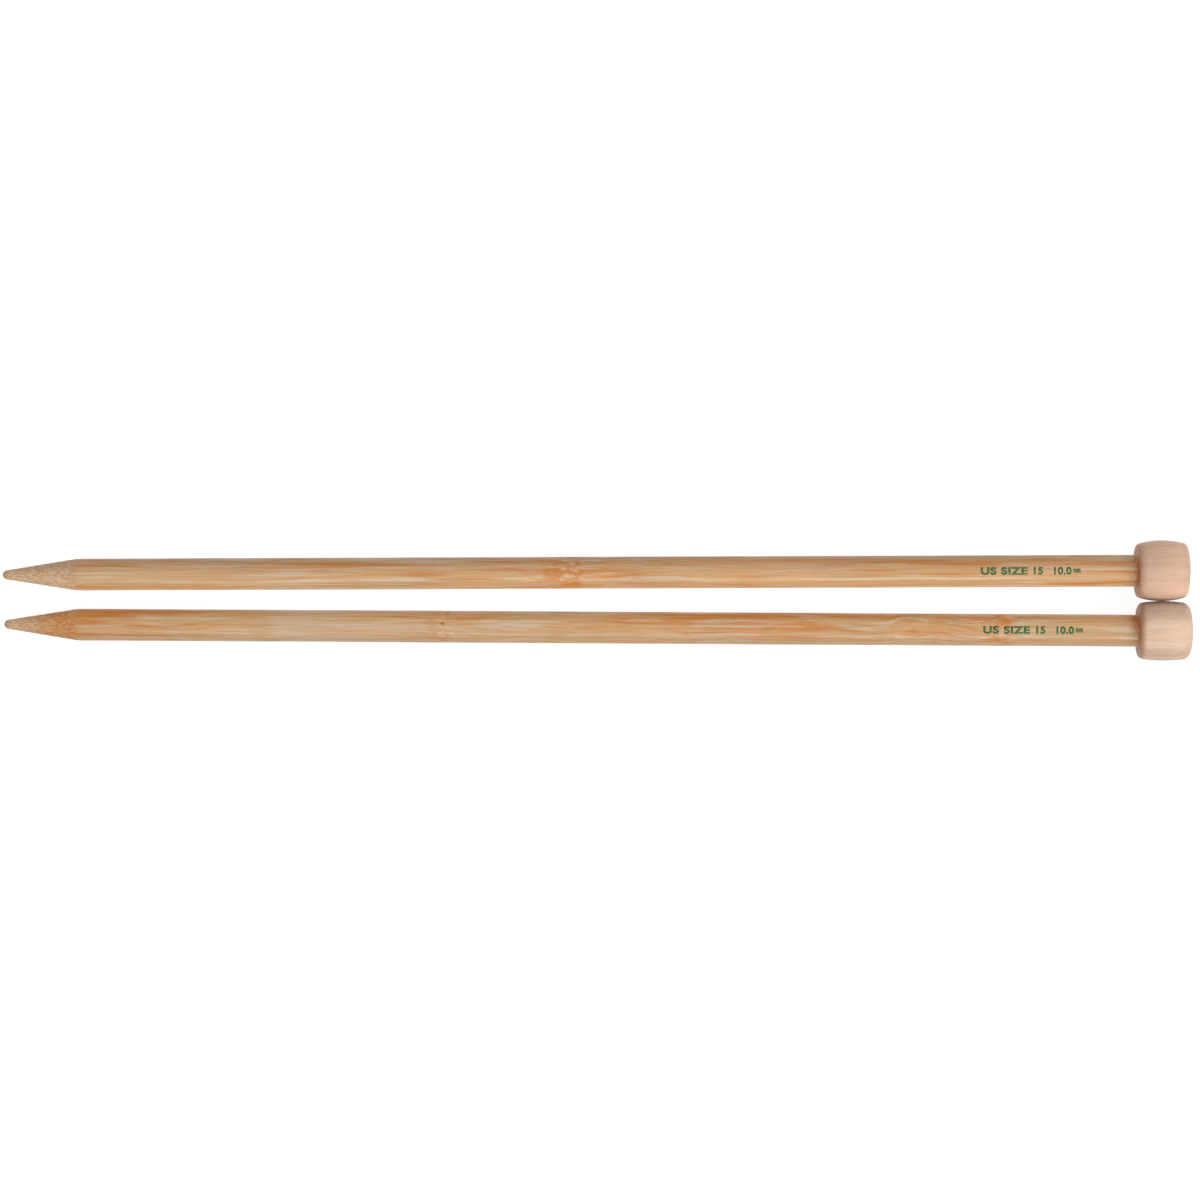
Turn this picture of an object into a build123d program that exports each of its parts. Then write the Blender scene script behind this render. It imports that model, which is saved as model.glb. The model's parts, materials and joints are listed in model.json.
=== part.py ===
from build123d import *
import os
from dataclasses import dataclass
from math import asin, atan2, cos, degrees, hypot, sin, sqrt, tan

# A pair of straight knitting needles, lying side by side on a table.
#
# Each needle is three pieces. The shaft is a turned bamboo rod with a tapered, rounded point,
# and a slightly thinner spigot at the other end. The knob is a turned wooden stop with a blind
# socket for the spigot. The glue fills the socket round the spigot, and its countersunk mouth,
# and holds the knob on for good.
#
# A needle is made along +X, with the tip of its point at x = 0, and is then laid down. It rests
# on the shoulder of its taper and on the widest part of its knob, so its knob end is higher.
# The points lie towards -X and the knobs towards +X. The right needle is the one at +Y: it is on
# the right of a knitter who holds both knobs and looks along the needles to their points.
# Units are millimetres, +Z is up and the table is z = 0. The origin is on the table, under the
# middle of the pair.

# Shaft
SHAFT_DIAMETER = 10.0  # the size that a needle is sold by
FREE_LENGTH = 355.6  # from the tip of the point to the knob
TAPER_LENGTH = 23.5  # from the tip to the corner between taper and full diameter
POINT_RADIUS = 1.45  # round nose of the point
SHOULDER_RADIUS = 15.0  # blends the taper into the full diameter
SPIGOT_STEP = 0.3  # how far the spigot is turned down, in radius
STEP_CHAMFER = 0.15  # breaks the corner where the shaft steps down to the spigot
SPIGOT_CHAMFER = 0.5  # at the end of the spigot

# Socket in the knob, and the glue in it
SOCKET_DEPTH = 10.0
GLUE_THICKNESS = 0.1  # between the spigot and the wall of the socket
GLUE_POCKET = 0.5  # between the end of the spigot and the floor of the socket
MOUTH_CHAMFER = 0.5  # countersink at the mouth of the socket

# Knobs
KNOB_LENGTH = 15.9  # along the barrel-shaped side, without the domed end


@dataclass
class KnobSize:
    """The sizes that hand turning and sanding leave different from knob to knob."""

    diameter: float  # at the widest part, halfway along
    crown: float  # how far the side falls away, in radius, from the middle to each end
    inner_rim_radius: float  # round edge on the shaft side
    outer_rim_radius: float  # round edge on the far side
    dome_height: float  # of the far end


RIGHT_KNOB = KnobSize(
    diameter=18.85, crown=1.3, inner_rim_radius=1.2, outer_rim_radius=1.75, dome_height=0.4
)
LEFT_KNOB = KnobSize(
    diameter=18.45, crown=0.75, inner_rim_radius=1.8, outer_rim_radius=2.75, dome_height=1.1
)

# How the pair lies
KNOB_GAP = 0.2  # between the two knobs, which lie almost touching
POINT_SPACING = 15.5  # between the two tips
LEFT_NEEDLE_STAGGER = 0.5  # how much further along +X the left needle lies

SHAFT_RADIUS = SHAFT_DIAMETER / 2
SHAFT_LENGTH = FREE_LENGTH + SOCKET_DEPTH - GLUE_POCKET
SPIGOT_RADIUS = SHAFT_RADIUS - SPIGOT_STEP
SOCKET_RADIUS = SPIGOT_RADIUS + GLUE_THICKNESS
KNOB_MIDDLE = FREE_LENGTH + KNOB_LENGTH / 2

# The flank of the taper touches the round nose and runs to the corner of the shoulder.
NOSE_TO_CORNER = hypot(TAPER_LENGTH - POINT_RADIUS, SHAFT_RADIUS)
TAPER_SLOPE = atan2(SHAFT_RADIUS, TAPER_LENGTH - POINT_RADIUS) - asin(
    POINT_RADIUS / NOSE_TO_CORNER
)
SHOULDER_CUT = SHOULDER_RADIUS * tan(TAPER_SLOPE / 2)  # from the corner to each end of the blend
SHOULDER_END = TAPER_LENGTH + SHOULDER_CUT


def make_shaft():
    """The bamboo rod: round nose, straight taper, blended shoulder, plain rod, spigot."""
    tip = (0, 0)
    nose_end = (POINT_RADIUS * (1 - sin(TAPER_SLOPE)), POINT_RADIUS * cos(TAPER_SLOPE))
    shoulder_start = (
        TAPER_LENGTH - SHOULDER_CUT * cos(TAPER_SLOPE),
        SHAFT_RADIUS - SHOULDER_CUT * sin(TAPER_SLOPE),
    )
    shoulder_end = (SHOULDER_END, SHAFT_RADIUS)
    outline = [
        RadiusArc(tip, nose_end, POINT_RADIUS),
        Line(nose_end, shoulder_start),
        RadiusArc(shoulder_start, shoulder_end, SHOULDER_RADIUS),
        Polyline(
            shoulder_end,
            (FREE_LENGTH - STEP_CHAMFER, SHAFT_RADIUS),
            (FREE_LENGTH, SHAFT_RADIUS - STEP_CHAMFER),
            (FREE_LENGTH, SPIGOT_RADIUS),
            (SHAFT_LENGTH - SPIGOT_CHAMFER, SPIGOT_RADIUS),
            (SHAFT_LENGTH, SPIGOT_RADIUS - SPIGOT_CHAMFER),
            (SHAFT_LENGTH, 0),
            tip,
        ),
    ]
    return revolve(make_face(outline), Axis.X)


def make_socket():
    """The space that is drilled and countersunk in a knob."""
    mouth_radius = SOCKET_RADIUS + MOUTH_CHAMFER
    outline = Polyline(
        (FREE_LENGTH, 0),
        (FREE_LENGTH, mouth_radius),
        (FREE_LENGTH + MOUTH_CHAMFER, SOCKET_RADIUS),
        (FREE_LENGTH + SOCKET_DEPTH, SOCKET_RADIUS),
        (FREE_LENGTH + SOCKET_DEPTH, 0),
        close=True,
    )
    return revolve(make_face(outline), Axis.X)


def barrel_radius(size):
    """Radius of the arc that a knob's side follows from end to end."""
    half_length = KNOB_LENGTH / 2
    return (half_length**2 + size.crown**2) / (2 * size.crown)


def round_rim(turned, place, radius):
    """Round one of the rims of a turned solid: place 0 is the first along X and -1 the last."""
    rims = turned.edges().filter_by(GeomType.CIRCLE).filter_by(lambda edge: edge.is_closed)
    return fillet(rims.sort_by(Axis.X)[place], radius)


def make_knob(size):
    """The turned knob: barrel-shaped side, domed far end, round rims, blind socket."""
    widest = size.diameter / 2
    end_radius = widest - size.crown
    far_end = FREE_LENGTH + KNOB_LENGTH
    dome_radius = (end_radius**2 + size.dome_height**2) / (2 * size.dome_height)
    inner_rim = (FREE_LENGTH, end_radius)
    outer_rim = (far_end, end_radius)
    dome_top = (far_end + size.dome_height, 0)
    outline = [
        Line((FREE_LENGTH, 0), inner_rim),
        ThreePointArc(inner_rim, (KNOB_MIDDLE, widest), outer_rim),
        RadiusArc(outer_rim, dome_top, dome_radius),
        Line(dome_top, (FREE_LENGTH, 0)),
    ]
    turned = revolve(make_face(outline), Axis.X)
    turned = round_rim(turned, 0, size.inner_rim_radius)
    return round_rim(turned, -1, size.outer_rim_radius) - make_socket()


def make_glue():
    """The glue: what the spigot leaves of the socket."""
    return make_socket() - make_shaft()


def resting_pose(size):
    """(height of the tip, angle in radians that the knob end is raised by) of a needle at rest.

    The table touches two arcs of the needle's outline from below: the shoulder blend and the
    barrel-shaped side of the knob.
    """
    run = KNOB_MIDDLE - SHOULDER_END
    barrel = barrel_radius(size)
    rise = SHAFT_RADIUS - size.diameter / 2 + barrel - SHOULDER_RADIUS
    tilt = asin((barrel - SHOULDER_RADIUS) / hypot(run, rise)) - atan2(rise, run)
    shoulder_drop = cos(tilt) * (SHAFT_RADIUS - SHOULDER_RADIUS) - sin(tilt) * SHOULDER_END
    return SHOULDER_RADIUS + shoulder_drop, tilt


# The middles of the knobs lie at different heights, each by its own radius above the table.
KNOB_REACH = (RIGHT_KNOB.diameter + LEFT_KNOB.diameter) / 2 + KNOB_GAP
KNOB_STEP = (RIGHT_KNOB.diameter - LEFT_KNOB.diameter) / 2
KNOB_SPACING = sqrt(KNOB_REACH**2 - KNOB_STEP**2)
SPLAY = atan2((KNOB_SPACING - POINT_SPACING) / 2, KNOB_MIDDLE)  # of each needle, from +X


def needle_location(size, side, stagger):
    """Where a needle lies, before the pair is centred; side is 1 for right and -1 for left."""
    height, tilt = resting_pose(size)
    place = Location((stagger, side * POINT_SPACING / 2, height))
    turn = Location((0, 0, 0), (0, 0, side * degrees(SPLAY)))
    raise_knob = Location((0, 0, 0), (0, -degrees(tilt), 0))
    return place * turn * raise_knob


def make_pair():
    """Every piece by node name, the two needle locations, with the origin under the middle."""
    sides = {
        "right": (RIGHT_KNOB, needle_location(RIGHT_KNOB, 1, 0)),
        "left": (LEFT_KNOB, needle_location(LEFT_KNOB, -1, LEFT_NEEDLE_STAGGER)),
    }
    pieces = {}
    for side, (size, location) in sides.items():
        pieces[f"{side}_needle_shaft"] = location * make_shaft()
        pieces[f"{side}_needle_knob"] = location * make_knob(size)
        pieces[f"{side}_needle_glue"] = location * make_glue()
    box = Compound(list(pieces.values())).bounding_box()
    centring = Location((-box.center().X, -box.center().Y, 0))
    pieces = {name: centring * piece for name, piece in pieces.items()}
    return pieces, {side: centring * location for side, (_, location) in sides.items()}


PIECES, NEEDLE_LOCATIONS = make_pair()
os.makedirs("parts", exist_ok=True)
for name, piece in PIECES.items():
    export_step(piece, f"parts/{name}.step")
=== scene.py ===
# %% [markdown]
# # A pair of straight knitting needles
#
# A straight needle is a bamboo rod with a tapered point and a wooden knob glued on its other end.
# The lesson turns rods and knobs as a lathe does, presses in the marks of the bamboo, prints the
# size and gives the wood its grain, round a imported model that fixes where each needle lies.

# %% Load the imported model
import json
import math

import bmesh
import bpy
from mathutils import Matrix, Vector


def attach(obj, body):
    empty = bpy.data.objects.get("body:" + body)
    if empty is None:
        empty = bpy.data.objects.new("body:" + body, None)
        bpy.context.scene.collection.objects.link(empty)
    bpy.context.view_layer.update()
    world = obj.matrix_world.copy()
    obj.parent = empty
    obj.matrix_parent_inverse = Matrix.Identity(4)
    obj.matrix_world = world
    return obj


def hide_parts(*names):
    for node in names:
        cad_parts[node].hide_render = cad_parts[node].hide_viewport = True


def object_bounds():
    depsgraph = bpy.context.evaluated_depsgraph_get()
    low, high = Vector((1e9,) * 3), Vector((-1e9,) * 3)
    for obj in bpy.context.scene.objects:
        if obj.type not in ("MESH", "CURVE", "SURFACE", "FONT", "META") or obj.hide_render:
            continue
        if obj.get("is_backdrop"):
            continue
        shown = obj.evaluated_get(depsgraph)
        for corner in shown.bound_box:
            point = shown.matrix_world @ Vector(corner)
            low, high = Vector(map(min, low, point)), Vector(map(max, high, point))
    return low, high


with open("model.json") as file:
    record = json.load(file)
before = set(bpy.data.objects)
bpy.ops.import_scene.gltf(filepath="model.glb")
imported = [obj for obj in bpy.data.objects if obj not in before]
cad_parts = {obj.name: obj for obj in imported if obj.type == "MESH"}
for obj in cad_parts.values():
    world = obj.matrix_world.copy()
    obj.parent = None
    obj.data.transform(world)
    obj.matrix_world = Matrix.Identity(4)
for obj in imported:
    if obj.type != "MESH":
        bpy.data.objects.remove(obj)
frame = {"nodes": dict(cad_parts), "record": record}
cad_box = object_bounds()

MM = 0.001  # lengths are in metres, so sizes are written as so many MM
SIDES = ("right", "left")

# %% [markdown]
# ## Where the needles lie
#
# A needle is easiest to make along X with its tip at the origin, and is then laid in its place in
# one move. The record states a point on each shaft's axis and which way the needle points, and
# the model's shaft says how far away the tip is.


# %% The place of each needle
def needle_place(side):
    """The matrix that lays a needle, made along X from its tip, where the model has it."""
    mounts = {mount["name"]: mount for mount in frame["record"]["mounts"]}
    middle = Vector(mounts[f"{side}_shaft"]["pos_m"])
    to_knob = -Vector(mounts[f"{side}_shaft"]["axis"]).normalized()
    shaft = frame["nodes"][f"{side}_needle_shaft"].data.vertices
    tip = middle + to_knob * min((corner.co - middle).dot(to_knob) for corner in shaft)
    splay = Matrix.Rotation(math.atan2(to_knob.y, to_knob.x), 4, "Z")
    tilt = Matrix.Rotation(-math.asin(to_knob.z), 4, "Y")
    return Matrix.Translation(tip) @ splay @ tilt


places = {side: needle_place(side) for side in SIDES}
for side, place in places.items():
    tip_mm = [round(value / MM, 2) for value in place.translation]
    print(side, "tip at", tip_mm, "mm")

# %% [markdown]
# ## Small tools
#
# Every Blender operator works on what is selected, so each step starts with nothing selected.
# `pick` selects the points of a mesh that pass a test of their place.


# %% Select and let go
def let_go():
    """Leave edit mode and select nothing."""
    if bpy.context.object and bpy.context.object.mode != "OBJECT":
        bpy.ops.object.mode_set(mode="OBJECT")
    bpy.ops.object.select_all(action="DESELECT")


def take(piece):
    """Make one piece the only one that is selected."""
    let_go()
    piece.select_set(True)
    bpy.context.view_layer.objects.active = piece


def pick(piece, test):
    """In edit mode, select the points whose place passes a test."""
    bpy.context.tool_settings.mesh_select_mode = (True, False, False)
    bpy.ops.mesh.select_all(action="DESELECT")
    mesh = bmesh.from_edit_mesh(piece.data)
    for point in mesh.verts:
        point.select = test(point.co)
    mesh.select_flush_mode()
    bmesh.update_edit_mesh(piece.data)


# %% [markdown]
# ## Turning
#
# Rods, knobs and glue are all round, so one tool makes them. It merges a small square to a point,
# extrudes the point along the outline, divides the long runs, and spins the outline once round
# X. Double points on the axis are merged, and the normals are made to point outwards.


# %% The lathe
def turn(name, outline, spacing, steps):
    """Turn a closed round piece from an outline of (along X, radius) pairs."""
    let_go()
    corners = [Vector((along, 0, radius)) for along, radius in outline]
    bpy.ops.mesh.primitive_plane_add(size=MM, location=corners[0])
    piece = bpy.context.object
    piece.name = piece.data.name = name
    bpy.ops.object.transform_apply(location=True)
    bpy.ops.object.mode_set(mode="EDIT")
    bpy.context.tool_settings.mesh_select_mode = (True, False, False)
    bpy.ops.mesh.select_all(action="SELECT")
    bpy.ops.mesh.merge(type="CENTER")
    for here, there in zip(corners, corners[1:]):
        bpy.ops.mesh.extrude_vertices_move(TRANSFORM_OT_translate={"value": there - here})
    divide_long_edges(piece, spacing)
    bpy.ops.mesh.select_all(action="SELECT")
    bpy.ops.mesh.spin(steps=steps, angle=math.tau, center=(0, 0, 0), axis=(1, 0, 0))
    bpy.ops.mesh.select_all(action="SELECT")
    bpy.ops.mesh.remove_doubles(threshold=0.001 * MM)
    bpy.ops.mesh.normals_make_consistent(inside=False)
    bpy.ops.object.mode_set(mode="OBJECT")
    print(name, "turned:", len(piece.data.polygons), "faces")
    return piece


def divide_long_edges(piece, spacing):
    """In edit mode, halve the edges that are longer than the spacing until none is."""
    bpy.context.tool_settings.mesh_select_mode = (False, True, False)
    while True:
        bpy.ops.mesh.select_all(action="DESELECT")
        mesh = bmesh.from_edit_mesh(piece.data)
        long_edges = [edge for edge in mesh.edges if edge.calc_length() > spacing]
        if not long_edges:
            return
        for edge in long_edges:
            edge.select = True
        bmesh.update_edit_mesh(piece.data)
        bpy.ops.mesh.subdivide(number_cuts=1)


def arc(middle, radius, start, end, pieces):
    """Points along an arc of a circle in the (along, radius) plane, with angles in radians."""
    return [
        (
            middle[0] + radius * math.cos(start + (end - start) * step / pieces),
            middle[1] + radius * math.sin(start + (end - start) * step / pieces),
        )
        for step in range(pieces + 1)
    ]


# %% [markdown]
# ## Relief
#
# A polished rod isn't a perfect cylinder: hard fibres stand a little proud, the sander leaves
# slow waves, and the sanded point is uneven. A Displace modifier moves the surface by a noise
# that is read in the space of an empty object: the empty's scale sets the size of the bumps, and
# its place gives each piece its own stretch of noise. The modifier is applied.


# %% Displace a surface by a stretched noise
def modify(piece, kind, **settings):
    """Give a piece a modifier with its settings, and apply it."""
    take(piece)
    modifier = piece.modifiers.new(kind, kind)
    for name, value in settings.items():
        setattr(modifier, name, value)
    bpy.ops.object.modifier_apply(modifier=modifier.name)


def relief(piece, name, length, width, height, group, shift):
    """Move a vertex group's points by a noise; the sizes of its bumps are in millimetres."""
    let_go()
    bpy.ops.object.empty_add(location=(shift, 0, 0))
    grain = bpy.context.object
    grain.scale = (length * MM, width * MM, width * MM)
    bpy.context.view_layer.update()
    noise = bpy.data.textures.new(name, "CLOUDS")
    noise.noise_scale = 1.0
    noise.noise_depth = 1
    place = {"texture_coords": "OBJECT", "texture_coords_object": grain}
    modify(piece, "DISPLACE", texture=noise, strength=height * MM, vertex_group=group, **place)
    bpy.data.objects.remove(grain)


def weight_along(piece, name, weight):
    """A vertex group whose weight follows the distance along X."""
    group = piece.vertex_groups.new(name=name)
    for point in piece.data.vertices:
        group.add([point.index], max(0.0, min(1.0, weight(point.co.x))), "REPLACE")


def press(piece, place, depth, width):
    """Press a soft dimple of a depth and a width into a surface, near a place."""
    take(piece)
    bpy.ops.object.mode_set(mode="EDIT")
    target = Vector(place)
    nearest = min(piece.data.vertices, key=lambda point: (point.co - target).length).co.copy()
    pick(piece, lambda co: (co - nearest).length < 0.001 * MM)
    outward = Vector((0, nearest.y, nearest.z)).normalized()
    bpy.ops.transform.translate(
        value=-depth * outward,
        use_proportional_edit=True,
        proportional_edit_falloff="SMOOTH",
        proportional_size=width,
    )
    bpy.ops.object.mode_set(mode="OBJECT")


def smooth(piece, degrees):
    """Shade a piece smooth, but keep the edges that are sharper than an angle."""
    take(piece)
    bpy.ops.object.shade_smooth_by_angle(angle=math.radians(degrees))


# %% [markdown]
# ## The shafts
#
# The shaft is a 10 mm rod, the size that the needle is sold by. Its point is a straight taper
# between a small round nose and a soft shoulder, and its other end is turned down to a spigot
# for the knob. The taper's slope follows from the sizes: its flank touches the nose's circle.

# %% The outline of a shaft
ROD_RADIUS = 5.0 * MM
FREE_LENGTH = 355.6 * MM  # from the tip to the knob
TAPER_LENGTH = 23.5 * MM
NOSE_RADIUS = 1.45 * MM
SHOULDER_RADIUS = 15.0 * MM
STEP_CHAMFER = 0.15 * MM
SPIGOT_RADIUS = 4.7 * MM
SPIGOT_END = 365.1 * MM
SPIGOT_CHAMFER = 0.5 * MM

flank = math.hypot(TAPER_LENGTH - NOSE_RADIUS, ROD_RADIUS)
slope = math.atan2(ROD_RADIUS, TAPER_LENGTH - NOSE_RADIUS) - math.asin(NOSE_RADIUS / flank)
shoulder_end = TAPER_LENGTH + SHOULDER_RADIUS * math.tan(slope / 2)
right_angle = math.pi / 2
shaft_outline = (
    arc((NOSE_RADIUS, 0), NOSE_RADIUS, math.pi, right_angle + slope, pieces=9)
    + arc(
        (shoulder_end, ROD_RADIUS - SHOULDER_RADIUS),
        SHOULDER_RADIUS,
        right_angle + slope,
        right_angle,
        pieces=6,
    )
    + [
        (FREE_LENGTH - STEP_CHAMFER, ROD_RADIUS),
        (FREE_LENGTH, ROD_RADIUS - STEP_CHAMFER),
        (FREE_LENGTH, SPIGOT_RADIUS),
        (SPIGOT_END - SPIGOT_CHAMFER, SPIGOT_RADIUS),
        (SPIGOT_END, SPIGOT_RADIUS - SPIGOT_CHAMFER),
        (SPIGOT_END, 0),
    ]
)
print("taper slope", round(math.degrees(slope), 2), "degrees")

# %% [markdown]
# Bamboo grows in joints, and each joint leaves a node in the rod: a slight swelling where the
# fibres cross, with small pits. `NODES` says where each node is. The pits are pressed in one by
# one. `PATCHES` are orange spots, where the fibres of two joints cross, and `FLECKS` are pale
# ones, where a fibre bundle ends: they have no depth, and only the colour uses them. All marks
# are given in millimetres from the tip and in degrees round the rod, from the top towards -Y.

# %% The marks of the bamboo in each shaft
NODES = {"right": [(178.0, 5.0)], "left": [(138.8, 2.0), (312.6, 2.6)]}  # (middle, half width)
PITS = {
    # (millimetres from the tip, degrees from the top, width)
    "right": [
        (178.9, 47, 0.7), (176.2, -38, 0.8), (181.2, -48, 0.7), (179.4, 130, 0.8),
        (180.8, -120, 0.9),
    ],
    "left": [
        (138, -12, 1.15), (139.5, 37, 0.75), (139.7, -68, 0.9), (138.8, 160, 0.8),
        (311.3, -50, 0.8), (313.6, 38, 0.8), (312.6, -130, 0.8),
    ],
}
PATCHES = {
    # (millimetres from the tip, degrees from the top, length, width)
    "right": [
        (171, -48, 9, 0.9), (172.9, -11, 3.4, 0.9), (174.7, 10, 3.6, 1), (178.3, -1, 3, 1.6),
        (180.1, 5, 1.4, 0.8), (180.9, -34, 2.2, 1.1), (177.3, 46, 1.6, 1.1), (179.9, 44, 4, 1.5),
        (177.5, 78, 3, 1.3), (179.5, -72, 2.6, 1.2),
    ],
    "left": [
        (138, -12, 2, 1.2), (139.2, -54, 1.8, 1), (140.1, -66, 1.6, 1.2), (139.8, 34, 1.4, 0.8),
        (138.6, 62, 3, 1.1), (313.8, -27, 7, 2.2), (316.6, -10, 4, 1.2), (311.6, 37, 3, 1.2),
        (312.4, -62, 3.4, 1.4), (314.6, 58, 3, 1),
    ],
}
FLECKS = {
    # as the patches
    "right": [
        (176.5, -14, 2.4, 1.2), (180.2, -5, 1.5, 0.9), (178.6, 16, 4.2, 0.9), (175.7, 26, 2.8, 1),
        (177.5, -46, 3, 0.7), (181.8, 20, 2, 0.9),
    ],
    "left": [
        (139.6, 5, 3, 1.2), (140.9, 22, 2, 0.9), (137.2, 28, 2.6, 0.9), (312.6, 8, 2.6, 0.9),
        (310.4, -36, 2.6, 0.8), (316, 26, 3.4, 0.9),
    ],
}
PIT_DEPTH = 0.09 * MM
ROD_FADE = 2 * MM  # the rod's relief dies away over this length before the knob
TIP_FADE = 3 * MM  # the unevenness of the point grows over this length from the tip
POINT_END = TAPER_LENGTH + 3 * MM  # and ends here
POINT_FADE = 4 * MM  # after dying away over this length
SHAFT_RELIEFS = [
    # (name, length, width and height of the bumps, vertex group)
    ("waves", 38, 9, 0.09, "rod"),
    ("fibres", 34, 0.85, 0.05, "rod"),
    ("sanding", 1.8, 1.1, 0.13, "point"),
    ("node_lumps", 2.6, 1.5, 0.12, "nodes"),
]
SHAFT_NOISE = {"right": 0.0, "left": 1.3}  # where each piece's stretch of noise begins


def on_rod(along, degrees, radius=ROD_RADIUS):
    """The place on a rod at a distance from the tip and an angle from the top towards -Y."""
    angle = math.radians(degrees)
    return Vector((along, -radius * math.sin(angle), radius * math.cos(angle)))


def swelling(along, nodes):
    """A weight that is 1 in the middle of each node and 0 away from it."""
    return sum(math.exp(-(((along - middle * MM) / (half * MM)) ** 2)) for middle, half in nodes)


def make_shaft(side):
    """A turned rod with its fibres, its slow waves, its sanded point, its nodes and its pits."""
    shaft = turn(f"{side}_shaft", shaft_outline, spacing=0.66 * MM, steps=120)
    weight_along(shaft, "rod", lambda x: min(x / TAPER_LENGTH, (FREE_LENGTH - x) / ROD_FADE))
    weight_along(shaft, "point", lambda x: min(x / TIP_FADE, (POINT_END - x) / POINT_FADE))
    weight_along(shaft, "nodes", lambda x: swelling(x, NODES[side]))
    for bumps in SHAFT_RELIEFS:
        relief(shaft, *bumps, SHAFT_NOISE[side])
    for along, degrees, width in PITS[side]:
        press(shaft, on_rod(along * MM, degrees), PIT_DEPTH, width * MM)
    smooth(shaft, degrees=40)
    return shaft


shafts = {side: make_shaft(side) for side in SIDES}

# %% [markdown]
# ## The knobs
#
# A knob is turned from a pale close-grained wood and tumbled smooth, so its edges are round and
# no two are quite alike: one has a fuller belly and a nearly flat end, the other straighter
# sides and a domed end. The outline starts at the floor of the socket, comes out through the
# countersunk mouth, and goes round the belly to the middle of the far end. The rims are rounded
# by an arc of a circle that touches the belly on one side and the end on the other. The knobs
# are a hair fuller than the model's, so that the two all but touch, as real ones do.

# %% The outline of a knob
SOCKET_FLOOR = 365.6 * MM
SOCKET_RADIUS = 4.8 * MM
MOUTH_CHAMFER = 0.5 * MM
KNOB_LENGTH = 15.9 * MM
KNOBS = {
    # (largest radius, how far it falls away at the ends, the two rims' radii, the dome's height)
    "right": (9.535 * MM, 1.3 * MM, 1.2 * MM, 1.75 * MM, 0.4 * MM),
    "left": (9.34 * MM, 0.75 * MM, 1.8 * MM, 2.75 * MM, 1.1 * MM),
}
SLOPE_START = 0.9  # the belly's slope is taken from here, in rim radii from the knob's face
SLOPE_RUN = 0.7  # over this run, in rim radii
BELLY_INSET = 1.25  # where the points of the belly begin and end, in rim radii from the ends
BELLY_PIECES = 24
DOME_INSET = 0.97  # where the points of the dome begin, as a part of the rim arc's middle radius
DOME_PIECES = 12


def belly_radius(along, knob):
    """Radius of the knob's side, which follows one wide arc."""
    widest, crown, *_ = knob
    half = KNOB_LENGTH / 2
    bow = (half**2 + crown**2) / (2 * crown)
    return widest - bow + math.sqrt(bow**2 - (along - FREE_LENGTH - half) ** 2)


def belly_slope(knob):
    """How steeply the belly rises beside the inner rim, as an angle."""
    rim = knob[2]
    low = belly_radius(FREE_LENGTH + rim * SLOPE_START, knob)
    high = belly_radius(FREE_LENGTH + rim * (SLOPE_START + SLOPE_RUN), knob)
    return math.atan2(high - low, rim * SLOPE_RUN)


def dome_arc(knob):
    """The radius at the edge of the domed end, and the radius of the arc that it follows."""
    widest, crown, _, _, dome = knob
    edge = widest - crown
    return edge, (edge**2 + dome**2) / (2 * dome)


def dome_end(radius, knob):
    """How far along X the domed end stands at a radius."""
    bow = dome_arc(knob)[1]
    top = FREE_LENGTH + KNOB_LENGTH + knob[4]
    return top - bow + math.sqrt(bow**2 - radius**2)


def knob_outline(knob):
    """The closed outline of a knob, from the socket's floor round to the far end."""
    inner, outer = knob[2:4]
    half = KNOB_LENGTH / 2
    inner_slope = belly_slope(knob)
    outer_slope = inner_slope * (half - outer) / (half - inner)
    edge, bow = dome_arc(knob)
    dome_lean = math.asin((edge - outer) / bow)

    inner_along = FREE_LENGTH + inner
    inner_radius = belly_radius(inner_along, knob) - inner / math.cos(inner_slope)
    outer_end = FREE_LENGTH + KNOB_LENGTH - outer
    outer_radius = belly_radius(outer_end, knob) - outer / math.cos(outer_slope)
    outer_along = dome_end(outer_radius, knob) - outer / math.cos(dome_lean)
    inner_middle = (inner_along, inner_radius)
    inner_rim = arc(inner_middle, inner, math.pi, right_angle + inner_slope, pieces=8)
    outer_middle = (outer_along, outer_radius)
    outer_rim = arc(outer_middle, outer, right_angle - outer_slope, dome_lean, pieces=10)

    belly_start = FREE_LENGTH + inner * BELLY_INSET
    belly_length = KNOB_LENGTH - inner * BELLY_INSET - outer * BELLY_INSET
    belly = [belly_start + belly_length * step / BELLY_PIECES for step in range(BELLY_PIECES + 1)]
    dome = [
        outer_radius * DOME_INSET * (1 - step / DOME_PIECES) for step in range(1, DOME_PIECES + 1)
    ]
    return (
        [
            (SOCKET_FLOOR, 0),
            (SOCKET_FLOOR, SOCKET_RADIUS),
            (FREE_LENGTH + MOUTH_CHAMFER, SOCKET_RADIUS),
            (FREE_LENGTH, SOCKET_RADIUS + MOUTH_CHAMFER),
        ]
        + inner_rim
        + [(along, belly_radius(along, knob)) for along in belly]
        + outer_rim
        + [(dome_end(radius, knob), radius) for radius in dome]
    )


# %% [markdown]
# Tumbling leaves a knob a little lumpy, and the softer wood between the grain lines wears
# down, so the lines can be felt. Both are reliefs. The socket is left as it was drilled.


# %% Turn the knobs
KNOB_RELIEFS = [
    # (name, length, width and height of the bumps, vertex group)
    ("tumbling", 7.5, 6.5, 0.15, "outside"),
    ("raised_grain", 9, 0.8, 0.025, "outside"),
]
KNOB_NOISE = {"right": 0.4, "left": 2.1}


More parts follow.
